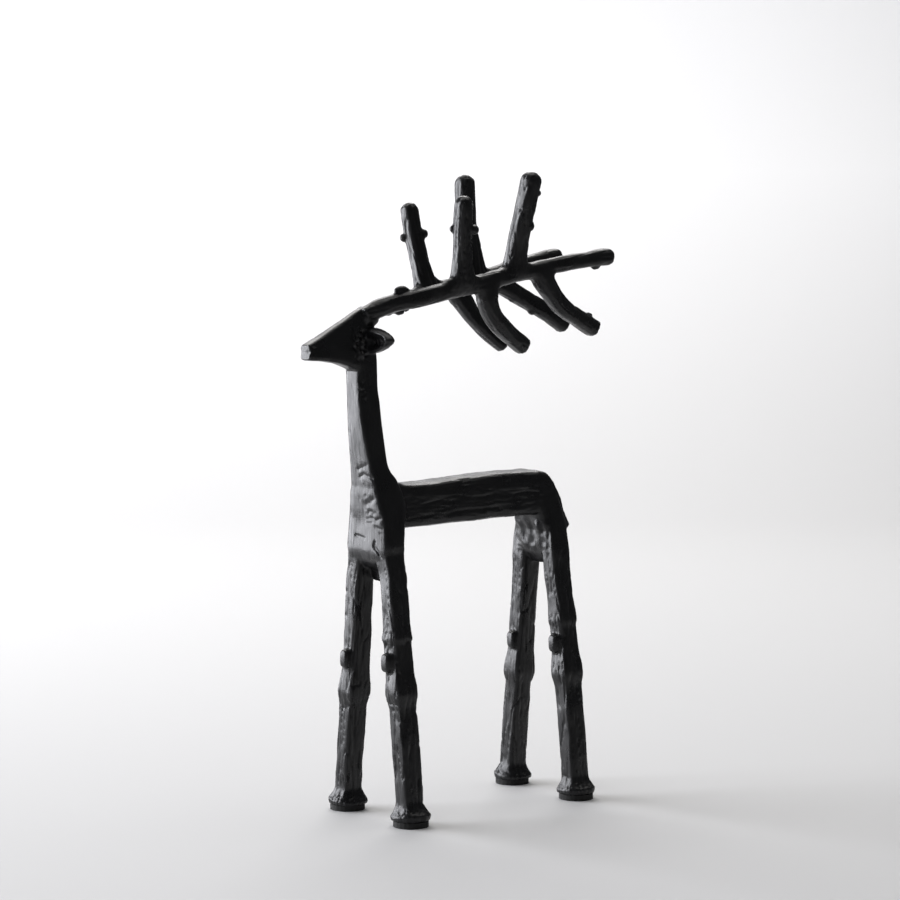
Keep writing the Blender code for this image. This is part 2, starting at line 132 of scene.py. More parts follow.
# Bark grooves along each side of the back: height in front, height at the rump, depth
BACK_GROOVES = (
    (167.2 * MM, 170.2 * MM, 0.5 * MM),
    (160.6 * MM, 163.6 * MM, 0.8 * MM),
    (154.6 * MM, 156.6 * MM, 0.7 * MM),
)
GROOVE_HALF_WIDTH = 0.8 * MM
GROOVE_WAVE = 1.1 * MM
GROOVE_START_Y = -42 * MM
GROOVE_END_Y = 46 * MM
GROOVE_FADE = 8 * MM
GROOVE_FACING = 0.5
GROOVE_BREAK = 11 * MM
GROOVE_STRENGTH = 0.55
GROOVE_UNEVENNESS = 0.6

# Ears, which shrink towards their faces round a middle, and the line in mm that their bark follows
EAR_MIDDLE_X = 11.5 * MM
EAR_Y = -64 * MM
EAR_MIDDLE_Z = 244.6 * MM
EAR_SPINE = (2, 9, 16, 22)
EAR_HALF_DEPTH = 3 * MM
EAR_HALF_HEIGHT = 6 * MM

# How finely limbs are drawn and fused
ROW_STEP = 1.2 * MM
SECTION_SIDES = 20
KNOB_SUBDIVISIONS = 3
DOME_ROWS = 7
DOME_SHARE = 0.94
FUSE_STEP = 0.62 * MM
MELT_PASSES = 3
MELT_FACTOR = 0.5
CASTING_TRIANGLES = 190000
CUT_TOLERANCE = 1e-7
BOX_MARGIN = 0.02 * MM

# Bark on each kind of twig, in mm: how much it wobbles, its lengthwise ridges and its cracks
LEG_BARK = (0.32, 0.20, 0.45)
TRUNK_BARK = (0.30, 0.04, 0.10)
BACK_BARK = (0.32, 0.16, 0.25)
HEAD_BARK = (0.15, 0.04, 0.05)
EAR_BARK = (0.10, 0.10, 0.10)
BEAM_BARK = (0.38, 0.16, 0.30)
TINE_BARK = (0.34, 0.26, 0.40)
DROP_BARK = (0.38, 0.16, 0.35)
ANTLER_BARKS = (BEAM_BARK, TINE_BARK, DROP_BARK)
BACK_BARK_START = -46 * MM

# The bark's grain across and along a twig, in mm, and the sharpness of its ridges and cracks
WOBBLE_GRAIN = (8, 8, 14)
RIDGE_GRAIN = (2.2, 2.2, 15)
RIDGE_TOP = 0.5
RIDGE_STEEPNESS = 2
CRACK_GRAIN = (3.4, 3.4, 24)
CRACK_HALF_WIDTH = 0.10
PIT_GRAIN = (1.5, 1.5, 2.2)
PITS = 0.05

# Finding the twig that a place is on, in half sizes of it, and where two twigs' barks meet
SEARCH_REACH = 20 * MM
THINNEST_HALF = 1.5 * MM
NO_TWIG = 99.0
BLEND_GAP = 0.5
KNOB_GAP = 1.75
KNOB_BARK = 0.3

# Fillets where the antlers branch
FILLET_GAP = 2.0
FILLET_EASE = 0.5
FILLET_PASSES = 24

# Noise: its table, how far it is stretched to reach about 1, and a seed for each use
NOISE_TABLE = 256
NOISE_GAIN = 1.6
SHIFT_RANGE = 90
SHIFT_SEED = 5
WOBBLE_SEED = 11
RIDGE_SEED = 12
CRACK_SEED = 13
PIT_SEED = 14
GROOVE_DEPTH_SEED = 21
GROOVE_WAVE_SEED = 22
MARK_SEED = 23
PATCH_SEED = 24

# Camera. The frame's half and the lens's length are in pixels of a picture 900 wide
CAMERA_PLACE = (1.0652, -0.8405, 0.2851)
CAMERA_TURN = radians(51.75)
CAMERA_PITCH = radians(4.148)
HALF_FRAME = 450
LENS_LENGTH = 2620
LENS_ANGLE = 2 * atan(HALF_FRAME / LENS_LENGTH)

# Floor and wall, as one sheet that sweeps up behind the figure
SWEEP_NEAR = 1.0
SWEEP_FAR = 1.3
SWEEP_RADIUS = 0.9
SWEEP_STEPS = 24
SWEEP_TOP = 2.6
SWEEP_LEFT = 0.72
SWEEP_RIGHT = 0.75
FLOOR_COLOUR = (0.60, 0.60, 0.60, 1)
WALL_COLOUR = (0.85, 0.85, 0.85, 1)
FLOOR_TO_WALL = (0.01, 0.4)
FLOOR_ROUGHNESS = 0.8

# Lights
WINDOW_PLACE = (-1.6, -1.26, 0.3)
WINDOW_TARGET = (0, 0, 0.3)
WINDOW_SIZE = (2.2, 2.3)
WINDOW_POWER = 142
WINDOW_COLOUR = (0.94, 0.95, 1.0)
BACK_PLACE = (-1.35, 0.75, 1.5)
BACK_TARGET = (0, 0, 0.2)
BACK_SIZE = (1.6, 1.0)
BACK_POWER = 18
SKY_PLACE = (-0.5, 0.4, 2.0)
SKY_TARGET = (-0.5, 0.4, 0)
SKY_SIZE = (2.2, 2.2)
SKY_POWER = 22
SKY_COLOUR = (1.0, 0.98, 0.96)
ROOM_COLOUR = (0.95, 0.97, 1.0, 1)
ROOM_STRENGTH = 0.12

# Paint. Each noise has a scale and a detail, and each bump a strength and a depth in metres
PAINT_SHINE = 0.32
PAINT_PATCHES = (70, 4)
PATCH_CONTRAST = (0.35, 0.65)
PAINT_ROUGHNESS = (0.24, 0.38)
PAINT_DARK = (0.0045, 0.0045, 0.005, 1)
PAINT_LIGHT = (0.009, 0.009, 0.0098, 1)
# The lighter colour on sharp edges stands for rubbed paint and is also a painted edge highlight
PAINT_WORN_AND_HIGHLIGHT = (0.02, 0.02, 0.021, 1)
WORN_AND_HIGHLIT_EDGES = (0.51, 0.58)
GRAIN = (800, 3)
GRAIN_LENGTHWISE = (1, 0.12, 1)
GRAIN_UPRIGHT = (1, 1, 0.12)
GRAIN_BUMP = (0.5, 0.0003)
SAND = (1600, 3)
SAND_BUMP = (0.25, 0.00015)

# Rubber
RUBBER_DARK = (0.007, 0.007, 0.007, 1)
RUBBER_DUSTY = (0.016, 0.016, 0.015, 1)
DUST = (400, 5)
DUST_CONTRAST = (0.3, 0.7)
RUBBER_ROUGHNESS = (0.75, 0.95)
RUBBER_GRAIN = (1500, 2)
RUBBER_BUMP = (0.2, 0.0001)

# Wrinkles, cracks, mouth and ear dishes pressed into the front: line, half width and depth, in mm
LOOP = [
    (4.0, -64.4, 158.6),
    (7.4, -64.4, 158.2),
    (7.6, -64.4, 155.2),
    (4.4, -64.4, 154.8),
    (4.0, -64.4, 158.6),
]
S_CRACK = [(8.2, -63.9, 143.1), (7.4, -63.9, 140.6), (10.6, -63.9, 138.3), (12.7, -63.9, 135.2)]
FRONT_MARKS = [
    ([(-1.2, -66.5, 179.6), (3.0, -66.5, 181.1), (6.8, -66.5, 182.4)], 0.7, 0.8),
    ([(-0.8, -66.0, 175.6), (3.4, -66.0, 177.4), (9.8, -66.0, 175.0)], 0.7, 0.7),
    ([(0.7, -65.0, 161.0), (8.1, -65.0, 164.3)], 1.6, 0.35),
    ([(9.1, -64.2, 153.9), (16.0, -64.2, 155.8)], 0.9, 0.5),
    ([(8.8, -64.0, 150.6), (16.5, -64.0, 148.9)], 0.7, 0.5),
    ([(12.5, -64.0, 147.6), (17.0, -64.0, 147.2)], 0.7, 0.5),
    (LOOP, 0.6, 0.3),
    ([(-8.0, -63.8, 145.2), (-1.0, -63.8, 144.1)], 0.8, 0.7),
    (S_CRACK, 0.7, 1.0),
    ([(-6.1, -63.9, 131.0), (-3.8, -63.9, 134.6)], 0.8, 0.7),
    ([(-12.0, -101.0, 239.2), (12.0, -101.0, 239.2)], 1.0, 0.7),
    ([(20.3, -62.0, 97.5), (20.6, -62.0, 91.5)], 0.6, 1.1),
    ([(15.0, -62.0, 61.4), (26.0, -62.0, 62.0)], 0.5, 0.4),
    ([(15.5, -62.0, 58.2), (26.5, -62.0, 59.0)], 0.5, 0.4),
    ([(-16.4, -66.9, 243.8), (-9.0, -66.9, 243.6)], 2.8, 2.3),
    ([(9.0, -66.9, 243.6), (16.4, -66.9, 243.8)], 2.8, 2.3),
]
FRONT = (0, -1, 0)
MARK_REACH = 3.0
MARK_BREAK = 2.2
MARK_WOBBLE = 0.3
MARK_UNEVENNESS = 0.5
NO_MARK = 1.0

# Hollows beside the knees, and nostrils, in mm
KNEE_HOLLOWS = [(-14.4, -59.0, 80.0), (21.0, -59.0, 82.0), (-14.2, 52.0, 80.0), (20.8, 52.0, 82.0)]
HOLLOW_BELOW = 5.0
HOLLOW_ABOVE = 4.5
HOLLOW_HALF_WIDTH = 2.2
HOLLOW_DEPTH = 1.6
NOSTRIL = [(4.4, -98.6, 241.6), (4.4, -97.6, 241.0)]
NOSTRIL_HALF_WIDTH = 0.9
NOSTRIL_DEPTH = 0.9

# Rough patches: lowest and highest corner, grain each way and roughness in mm, and facing
ROUGH_PATCHES = [
    ((2.0, -74.5, 235.5), (10.0, -66.2, 251.5), (1.6, 1.6, 2.6), 2.2, (1, 0, 0)),
    ((-10.0, -74.5, 235.5), (-2.0, -66.2, 251.5), (1.6, 1.6, 2.6), 2.2, (-1, 0, 0)),
    ((2.5, -75.0, 213.0), (9.0, -66.0, 224.0), (1.4, 1.4, 2.2), 0.6, (1, 0, 0)),
    ((0.5, -70.0, 151.5), (17.0, -60.0, 169.5), (2.6, 2.6, 1.9), 0.3, (0, -1, 0)),
    ((-14.0, 40.0, 129.5), (15.0, 52.0, 150.0), (5.0, 5.0, 5.5), 0.9, (0, -1, 0)),
    ((11.0, -66.0, 88.5), (24.0, -58.0, 99.0), (2.0, 2.0, 3.0), 0.6, (0, -1, 0)),
    ((-6.0, -104.0, 233.0), (7.0, -96.0, 246.0), (3.4, 3.4, 3.4), 0.35, (0, -1, 0)),
]
PATCH_EASE = 1.2

# The middle line of every twig, filled in as the twigs are drawn
AXES = []


def flow(rows):
    """Rows of numbers, the first three a place, run through smoothly with more rows between them."""
    rows = np.array(rows, float)
    padded = np.vstack([2 * rows[0] - rows[1], rows, 2 * rows[-1] - rows[-2]])
    run = []
    for i in range(1, len(rows)):
        p0, p1, p2, p3 = padded[i - 1 : i + 3]
        count = max(1, ceil(np.linalg.norm(p2[:3] - p1[:3]) / ROW_STEP))
        for t in np.arange(count) / count:
            run.append(
                0.5
                * (
                    2 * p1
                    + (p2 - p0) * t
                    + (2 * p0 - 5 * p1 + 4 * p2 - p3) * t**2
                    + (3 * p1 - p0 - 3 * p2 + p3) * t**3
                )
            )
    run.append(rows[-1])
    return np.array(run)


def section(centre, across, through, half_across, half_through, square, taper=0.0):
    """A rounded-square ring. A square of 2 is an ellipse. Taper narrows it towards +through."""
    ring = []
    for i in range(SECTION_SIDES):
        angle = 2 * pi * (i + 0.5) / SECTION_SIDES
        c, s = cos(angle), sin(angle)
        u = abs(c) ** (2 / square) * (1 if c > 0 else -1)
        v = abs(s) ** (2 / square) * (1 if s > 0 else -1)
        ring.append(centre + across * (half_across * u * (1 - taper * v)) + through * (half_through * v))
    return ring


def skin(rings):
    """A closed mesh over a run of rings, each with the same number of points."""
    body = bmesh.new()
    rows = [[body.verts.new(point) for point in ring] for ring in rings]
    for low, high in zip(rows, rows[1:]):
        for i in range(len(low)):
            j = (i + 1) % len(low)
            body.faces.new((low[i], low[j], high[j], high[i]))
    body.faces.new(rows[0])
    body.faces.new(rows[-1])
    bmesh.ops.recalc_face_normals(body, faces=body.faces)
    return body


def limb(run, bark, bark_top=HEIGHT):
    """A closed twig along rows of place, half sizes and squareness, with bark below bark_top."""
    places = [Vector(row[:3]) for row in run]
    rings, alongs, wides = [], [], []
    for i, row in enumerate(run):
        along = (places[min(i + 1, len(places) - 1)] - places[max(i - 1, 0)]).normalized()
        wide = (SIDEWAYS - along * SIDEWAYS.dot(along)).normalized()
        rings.append(section(places[i], wide, along.cross(wide), row[3], row[4], row[5]))
        alongs.append(along)
        wides.append(wide)
    rough = run[:, 2] < bark_top
    note_axis(run[rough], np.array(alongs)[rough], np.array(wides)[rough], bark)
    return skin(rings)


def note_axis(run, alongs, wides, bark):
    """Keep a twig's middle line, so that its bark can follow it."""
    run = np.array([row[:5] for row in run], float)
    alongs, wides = np.array(alongs, float), np.array(wides, float)
    AXES.append(
        {
            "places": run[:, :3],
            "halves": np.maximum(run[:, 3:5], THINNEST_HALF),
            "alongs": alongs,
            "wides": wides,
            "deeps": np.cross(alongs, wides),
            "far": length_along(run),
            "bark": bark,
        }
    )


def length_along(run):
    """How far along the run each row is."""
    steps = np.linalg.norm(np.diff(run[:, :3], axis=0), axis=1)
    return np.concatenate([[0.0], np.cumsum(steps)])


def round_off(run, radius):
    """Close the end of a run with a dome of that radius."""
    far = length_along(run)
    start = far[-1] - radius
    body = run[far < start]
    dome = []
    for angle in np.linspace(0.0, DOME_SHARE * pi / 2, DOME_ROWS):
        at = start + radius * sin(angle)
        row = np.array([np.interp(at, far, run[:, k]) for k in range(run.shape[1])])
        row[3:5] *= cos(angle)
        dome.append(row)
    return np.vstack([body, dome])


def cut_off(run, bevel):
    """End a run in a flat cut with a bevelled edge."""
    far = length_along(run)
    body = run[far < far[-1] - bevel]
    shoulder = np.array([np.interp(far[-1] - bevel, far, run[:, k]) for k in range(run.shape[1])])
    end = run[-1].copy()
    end[3:5] -= bevel
    return np.vstack([body, [shoulder, end]])


def swell(run, at, amount, before, after):
    """Thicken a run round one place, rising over before and falling over after."""
    away = length_along(run) - at
    reach = np.where(away < 0, before, after)
    gain = amount * np.exp(-((away / reach) ** 2))
    run[:, 3] += gain
    run[:, 4] += gain


def flare_root(run, amount, reach):
    """Widen the start of a run along the beam that it leaves."""
    gain = amount * np.exp(-np.maximum(0, length_along(run) - FLARE_ROOT) / reach)
    run[:, 3] += gain * FLARE_SIDEWAYS
    run[:, 4] += gain


def knob(x, y, z, size_x, size_y, size_z, square=ROUND):
    """A small lump of those half sizes: a ball, or boxier the larger square is."""
    body = bmesh.new()
    bmesh.ops.create_icosphere(body, subdivisions=KNOB_SUBDIVISIONS, radius=1.0)
    for v in body.verts:
        size = abs(v.co.x) ** square + abs(v.co.y) ** square + abs(v.co.z) ** square
        spot = v.co / size ** (1 / square)
        v.co = Vector((x + spot.x * size_x, y + spot.y * size_y, z + spot.z * size_z)) * MM
    return body


def leg_run(side, foot_x, foot_y, lean, upper):
    """A leg's rows from under the sole, through its lean, to the rows of upper, which it ends in."""
    half = (LEG_WIDTH / 2, LEG_DEPTH / 2, LEG_SQUARE)
    rows = [(side * foot_x, foot_y, SOLE_Z - SOLE_SPARE) + half]
    for z, share, drift in lean:
        rows.append((side * foot_x * share, foot_y + drift * MM, z * MM) + half)
    for x, y, z, half_width, half_depth in upper:
        rows.append((side * x * MM, y * MM, z * MM, half_width * MM, half_depth * MM, LEG_SQUARE))
    run = flow(rows)

    ring_z = LEFT_RING_Z if side == LEFT else RIGHT_RING_Z
    swell(run, ring_z - run[0, 2], RING_SWELL, RING_FALL, RING_RISE)
    if side == LEFT:
        swell(run, SCAR_Z - run[0, 2], SCAR_SWELL, SCAR_DROP, SCAR_RISE)
    for row in run:
        above = max(0.0, row[2] - FLARE_Z) / FLARE_RISE
        below = max(0.0, FLARE_Z - row[2])
        flare = (1 - min(1.0, above)) ** 2
        row[3] += (FOOT_FLARE - LEG_WIDTH / 2) * flare - SOLE_INSET * below
        row[4] += (FOOT_FLARE - LEG_DEPTH / 2) * flare - SOLE_INSET * below
        row[5] = LEG_SQUARE + (FOOT_SQUARE - LEG_SQUARE) * flare**0.5
    return run


def legs():
    """Four legs, each with its ring and a knob on the front of its knee."""
    # height, share of the foot's distance from the middle, and drift along the body
    front_lean = [(30, 0.902, -0.2), (60, 0.764, -0.4), (90, 0.641, -0.6), (120, 0.541, -0.9)]
    rear_lean = [
        (30, 0.906, -0.2),
        (60, 0.768, -0.4),
        (90, 0.640, -0.8),
        (108, 0.552, -1.3),
        (120, 0.490, -2.0),
    ]
    # outward place, place along, height, half width and half depth where the leg joins the trunk
    front_top = [(12.3, -56.8, 133, 5.2, 5.9), (11.2, -56.8, 146, 4.9, 6.4), (8.6, -57.2, 160, 4.9, 7.0)]
    rear_top = [(11.8, 53.0, 134, 5.4, 6.2), (9.4, 52.4, 148, 4.6, 5.8), (7.6, 50.0, 160, 4.2, 5.0)]
    shapes = []
    for side in (LEFT, RIGHT):
        front = leg_run(side, FRONT_FOOT_X, -FOOT_Y, front_lean, front_top)
        rear = leg_run(side, REAR_FOOT_X, FOOT_Y, rear_lean, rear_top)
        shapes += [limb(front, LEG_BARK, LEG_BARK_TOP), limb(rear, LEG_BARK, LEG_BARK_TOP)]
        knee = (LEFT_KNEE_Z if side == LEFT else RIGHT_KNEE_Z) / MM
        shapes += [knob(side * x, y, knee, *KNEE_KNOB_SIZE, KNEE_SQUARE) for x, y in KNEE_KNOBS]
    return shapes


def neck_and_chest():
    """The two front legs close into a broad chest, which narrows up into the neck."""
    # height, whole width, front face, rear face
    levels = [
        (121.5, 15.0, -53.4, -51.2),
        (124.5, 21.0, -53.9, -50.6),
        (127.5, 26.0, -55.0, -50.2),
        (130.0, 30.0, -57.0, -50.0),
        (132.5, 32.6, -60.2, -50.0),
        (135.5, 33.8, -63.0, -50.0),
        (138.5, 34.4, -63.9, -50.0),
        (142, 34.8, -63.9, -50.2),
        (150, 32.8, -63.8, -49.0),
        (160, 28.6, -64.8, -46.6),
        (170, 24.0, -65.8, -49.4),
        (175, 21.5, -66.3, -52.7),
        (180, 19.2, -66.9, -54.6),
        (190, 16.5, -68.5, -56.0),
        (200, 14.8, -70.1, -56.8),
        (210, 12.9, -71.1, -57.6),
        (220, 11.7, -71.7, -58.8),
        (228, 12.2, -71.9, -59.2),
        (234, 12.8, -72.0, -59.6),
        (240, 12.0, -72.0, -60.0),
    ]
    rows = [
        (0, (front + rear) / 2 * MM, z * MM, wide / 2 * MM, (rear - front) / 2 * MM, CHEST_SQUARE)
        for z, wide, front, rear in levels
    ]
    return [limb(flow(rows), TRUNK_BARK)]


def back():
    """The bar of the body, from inside the chest to the rump."""
    # place along, belly, back, whole width
    stations = [
        (-58, 148.8, 178.0, 17.0),
        (-53, 148.8, 175.6, 18.2),
        (-49, 148.8, 172.9, 19.8),
        (-44, 148.8, 171.6, 21.0),
        (-38, 148.9, 171.1, 21.0),
        (-26, 149.1, 171.4, 21.0),
        (-14, 149.6, 172.2, 21.0),
        (8, 150.0, 173.6, 21.6),
        (30, 150.6, 174.2, 22.0),
        (44, 150.2, 174.3, 22.6),
        (49.5, 149.5, 173.0, 22.8),
        (54.0, 149.0, 168.0, 23.0),
        (58.4, 148.0, 159.2, 23.4),
    ]
    rings = []
    for y, belly, top, wide in stations:
        centre = Vector((0, y, (belly + top) / 2)) * MM
        half = (top - belly) / 2 * MM
        rings.append(section(centre, SIDEWAYS, UPWARD, wide / 2 * MM, half, BACK_SQUARE, BACK_TAPER))
    rows = flow(
        [
            (0, y * MM, (belly + top) / 2 * MM, wide / 2 * MM, (top - belly) / 2 * MM)
            for y, belly, top, wide in stations
        ]
    )
    rows = rows[rows[:, 1] > BACK_BARK_START]
    note_axis(rows, [LENGTHWISE] * len(rows), [SIDEWAYS] * len(rows), BACK_BARK)
    return [skin(rings)]


def haunch():
    """The rump's block over the rear legs, with the small lip behind it and lumps on its front."""
    # height, front face, rear face, whole width
    levels = [
        (124.0, 52.6, 56.4, 20.0),
        (127, 50.0, 58.4, 26.5),
        (130, 47.6, 59.0, 30.0),
        (133, 46.4, 59.3, 31.5),
        (137, 46.0, 60.0, 30.5),
        (142.5, 45.5, 60.9, 29.0),
        (144.5, 44.6, 63.2, 28.0),
        (150, 42.6, 61.4, 25.5),
        (158, 40.6, 58.4, 23.4),
        (166, 40.0, 54.6, 21.6),
    ]
    rings = []
    for z, front, rear, wide in levels:
        centre = Vector((0, (front + rear) / 2, z)) * MM
        half_depth = (rear - front) / 2 * MM
        rings.append(section(centre, SIDEWAYS, LENGTHWISE, wide / 2 * MM, half_depth, HAUNCH_SQUARE))
    rows = flow(
        [
            (0, (front + rear) / 2 * MM, z * MM, wide / 2 * MM, (rear - front) / 2 * MM)
            for z, front, rear, wide in levels
        ]
    )
    note_axis(rows, [UPWARD] * len(rows), [SIDEWAYS] * len(rows), TRUNK_BARK)
    # outward place, place along, height, and half sizes of each lump
    lumps = [(7.6, 45.6, 146.0, 2.6, 2.2, 4.6), (-1.5, 45.8, 150.0, 3.0, 2.0, 3.2)]
    return [skin(rings)] + [knob(*lump) for lump in lumps]


def head():
    """A wedge of a head, cut square across the nose, with a brow on each side."""
    # place along, underside, top, whole width, taper towards the top
    stations = [
        (-100.5, 235.8, 242.6, 7.6, 0.0),
        (-99.7, 235.2, 243.3, 8.6, 0.05),
        (-96.5, 235.0, 245.0, 9.2, 0.10),
        (-90, 234.6, 248.4, 9.4, 0.16),
        (-82, 233.4, 252.6, 9.6, 0.24),
        (-75, 231.0, 256.4, 9.8, 0.30),
        (-69, 228.6, 260.0, 10.0, 0.34),
        (-64.5, 229.5, 262.0, 10.2, 0.34),
        (-61.8, 233.5, 260.6, 9.8, 0.30),
        (-60.2, 240.5, 257.0, 8.6, 0.26),
    ]
    rings = []
    for y, low, high, wide, taper in stations:
        centre = Vector((0, y, (low + high) / 2)) * MM
        half = (high - low) / 2 * MM
        rings.append(section(centre, SIDEWAYS, UPWARD, wide / 2 * MM, half, HEAD_SQUARE, taper))
    rows = flow(
        [
            (0, y * MM, (low + high) / 2 * MM, wide / 2 * MM, (high - low) / 2 * MM)
            for y, low, high, wide, _ in stations
        ]
    )
    note_axis(rows, [LENGTHWISE] * len(rows), [SIDEWAYS] * len(rows), HEAD_BARK)
    x, y, z = BROW_PLACE
    return [skin(rings)] + [knob(side * x, y, z, *BROW_SIZE) for side in (LEFT, RIGHT)]


def ears():
    """Two thick leaves that stand out sideways from the head."""
    # outward place and height round the leaf, from the top of its root over its tip
    outline = [
        (2.0, 250.9),
        (7.4, 251.3),
        (12.2, 250.6),
        (16.6, 249.3),
        (20.6, 247.4),
        (22.9, 245.2),
        (21.4, 243.2),
        (18.0, 241.2),
        (14.0, 239.6),
        (8.6, 238.4),
        (2.0, 238.0),
    ]
    # place along and share of the leaf's size, from its front face to its back
    slices = [(-66.9, 0.80), (-66.2, 0.90), (-64.6, 0.98), (-62.4, 1.0), (-60.9, 0.92)]
    edge = flow([(x * MM, 0.0, z * MM) for x, z in outline])
    shapes = []
    for side in (LEFT, RIGHT):
        rings = []
        for y, share in slices:
            ring = []
            for x, _, z in edge:
                across = EAR_MIDDLE_X + (x - EAR_MIDDLE_X) * share
                ring.append(Vector((side * across, y * MM, EAR_MIDDLE_Z + (z - EAR_MIDDLE_Z) * share)))
            rings.append(ring)
        shapes.append(skin(rings))
        half = (EAR_HALF_DEPTH, EAR_HALF_HEIGHT)
        spine = flow([(side * x * MM, EAR_Y, EAR_MIDDLE_Z) + half for x in EAR_SPINE])
        alongs = [SIDEWAYS * side] * len(spine)
        note_axis(spine, alongs, [LENGTHWISE] * len(spine), EAR_BARK)
    return shapes


def beam(side):
    """The antler's main beam from the forehead to its tip behind. The right one hangs lower in front."""
    # outward place, place along, height, radius
    spine = [
        (3.0, -66.0, 257.4, 3.6),
        (4.4, -59.5, 260.4, 4.4),
        (6.4, -49.2, 263.6, 4.6),
        (9.2, -38.4, 265.4, 4.7),
        (12.4, -22.5, 269.0, 4.6),
        (14.6, -4.7, 272.2, 4.7),
        (15.4, 15.3, 276.8, 4.7),
        (16.3, 31.3, 279.4, 4.5),
        (17.8, 47.9, 282.6, 4.3),
        (19.6, 66.4, 285.1, 4.1),
        (20.8, 76.0, 286.4, 4.5),
        (21.4, BEAM_END_Y / MM, 286.8, 4.5),
    ]
    rows = []
    for x, y, z, radius in spine:
        hang = 0.0
        if side == RIGHT:
            fading = min(1.0, max(0.0, (HANG_END - y) / HANG_FADE))
            rising = min(1.0, max(0.0, (y - HANG_START) / HANG_RISE))
            hang = RIGHT_BEAM_HANG * fading * rising
        rows.append((side * x * MM, y * MM, z * MM - hang, radius * MM, radius * MM, BEAM_SQUARE))
    return limb(round_off(flow(rows), BEAM_TIP_RADIUS), BEAM_BARK)


def branch(side, points, radius, flare, square):
    """Rows along a branch, of one radius but for the flare at its root."""
    rows = [(side * x * MM, y * MM, z * MM, radius, radius, square) for x, y, z in points]
    run = flow(rows)
    flare_root(run, flare, FLARE_REACH)
    return run


def antlers():
    """Two beams with two tines up and two curving down each, and the buds along them."""
    # outward place, place along, height, from each tine's root inside its beam to its end
    front_tine = {
        LEFT: [(14.3, -11.5, 269.5), (16.6, -13.6, 283.0), (19.9, -16.4, 300.5), (22.9, -17.6, 317.6)],
        RIGHT: [(13.6, -12.8, 267.5), (16.2, -15.8, 282.5), (20.3, -18.0, 302.0), (22.9, -18.2, 315.0)],
    }
    rear_tine = {
        LEFT: [(15.3, 21.8, 277.5), (16.8, 21.8, 290.0), (20.8, 21.8, 303.0), (27.9, 23.6, 330.3)],
        RIGHT: [(15.2, 21.0, 273.5), (17.0, 18.8, 290.0), (20.6, 18.3, 305.5), (27.5, 22.8, 330.0)],
    }
    front_drop = {
        LEFT: [
            (15, 3, 273),
            (14.2, 4.6, 263.5),
            (12.6, 10.6, 254.8),
            (10.2, 22, 246.6),
            (7.9, 34.4, 239.4),
        ],
        RIGHT: [(15, 6, 271), (14.6, 11.2, 263.6), (13.2, 15.6, 257.0), (11, 23.2, 249), (8, 34.6, 239.7)],
    }
    rear_drop = {
        LEFT: [(17, 37, 280), (16.6, 43, 271), (15, 53, 261.6), (13.2, 66, 254.8), (11.9, 80.6, 248.2)],
        RIGHT: [(16.6, 31, 276), (16.6, 43, 270), (15.2, 57, 262.8), (13.2, 69, 256.4), (11.9, 80, 249.2)],
    }
    # outward place, place along, height, and half sizes of each bud
    buds = {
        LEFT: [
            (17.0, -19.8, 300.8, 2.2, 2.4, 2.3),
            (23.6, -11.7, 300.4, 2.4, 2.6, 2.8),
            (24.0, 25.4, 302.6, 2.0, 2.2, 2.6),
            (27.6, 27.4, 319.6, 1.4, 1.6, 2.0),
            (20.2, 73.4, 281.6, 2.0, 2.8, 1.8),
            (14.6, -20.5, 273.0, 3.0, 3.8, 3.0),
            (7.6, -45.8, 269.4, 2.4, 5.0, 2.8),
            (12.2, 74.6, 255.6, 1.8, 4.0, 1.8),
        ],
        RIGHT: [
            (22.6, -21.6, 296.6, 2.2, 2.2, 2.2),
            (16.6, -13.6, 298.6, 2.4, 2.8, 2.8),
            (24.0, 22.6, 317.0, 1.4, 2.0, 2.0),
            (7.4, -36.4, 258.6, 2.2, 3.4, 2.0),
            (6.2, -44.0, 257.8, 1.6, 2.4, 1.4),
            (8.6, -31.0, 259.8, 1.4, 2.0, 1.3),
            (9.6, -25.5, 261.4, 1.6, 2.4, 1.2),
            (13.8, -8.0, 273.2, 3.0, 3.6, 3.2),
            (16.0, 46.0, 264.4, 2.0, 2.4, 2.0),
            (14.6, 59.0, 257.8, 2.0, 3.0, 2.2),
            (10.4, 25.6, 245.4, 2.0, 2.4, 1.8),
        ],
    }
    shapes = []
    for side in (LEFT, RIGHT):
        shapes.append(beam(side))
        front_flare = LEFT_FRONT_FLARE if side == LEFT else RIGHT_FRONT_FLARE
        for tine, radius, flare in (
            (front_tine, FRONT_TINE_RADIUS, front_flare),
            (rear_tine, REAR_TINE_RADIUS, REAR_TINE_FLARE),
        ):
            run = branch(side, tine[side], radius, flare, TINE_SQUARE)
            shapes.append(limb(round_off(run, radius), TINE_BARK))
        for drop in (front_drop, rear_drop):
            run = branch(side, drop[side], DROP_RADIUS, DROP_FLARE, DROP_SQUARE)
            shapes.append(limb(cut_off(run, CUT_BEVEL), DROP_BARK))
        shapes += [knob(side * x, y, z, a, b, c) for x, y, z, a, b, c in buds[side]]
    return shapes


def fuse(shapes):
    """One closed mesh round all the shapes, with soft fillets where they meet."""
    whole = bmesh.new()
    for shape in shapes:
        piece = bpy.data.meshes.new("piece")
        shape.to_mesh(piece)
        shape.free()
        whole.from_mesh(piece)
        bpy.data.meshes.remove(piece)
    mesh = bpy.data.meshes.new("twigs")
    whole.to_mesh(mesh)
    whole.free()
    twigs = bpy.data.objects.new("twigs", mesh)
    bpy.context.scene.collection.objects.link(twigs)
    merge = twigs.modifiers.new("fuse", "REMESH")
    merge.mode = "VOXEL"
    merge.voxel_size = FUSE_STEP
    melt = twigs.modifiers.new("melt", "SMOOTH")
    melt.factor = MELT_FACTOR
    melt.iterations = MELT_PASSES
    fused = baked(twigs)
    bpy.data.objects.remove(twigs)
    return fused


def baked(thing):
    """The mesh an object has once its modifiers have worked."""
    bpy.context.view_layer.update()
    graph = bpy.context.evaluated_depsgraph_get()
    return bpy.data.meshes.new_from_object(thing.evaluated_get(graph), depsgraph=graph)


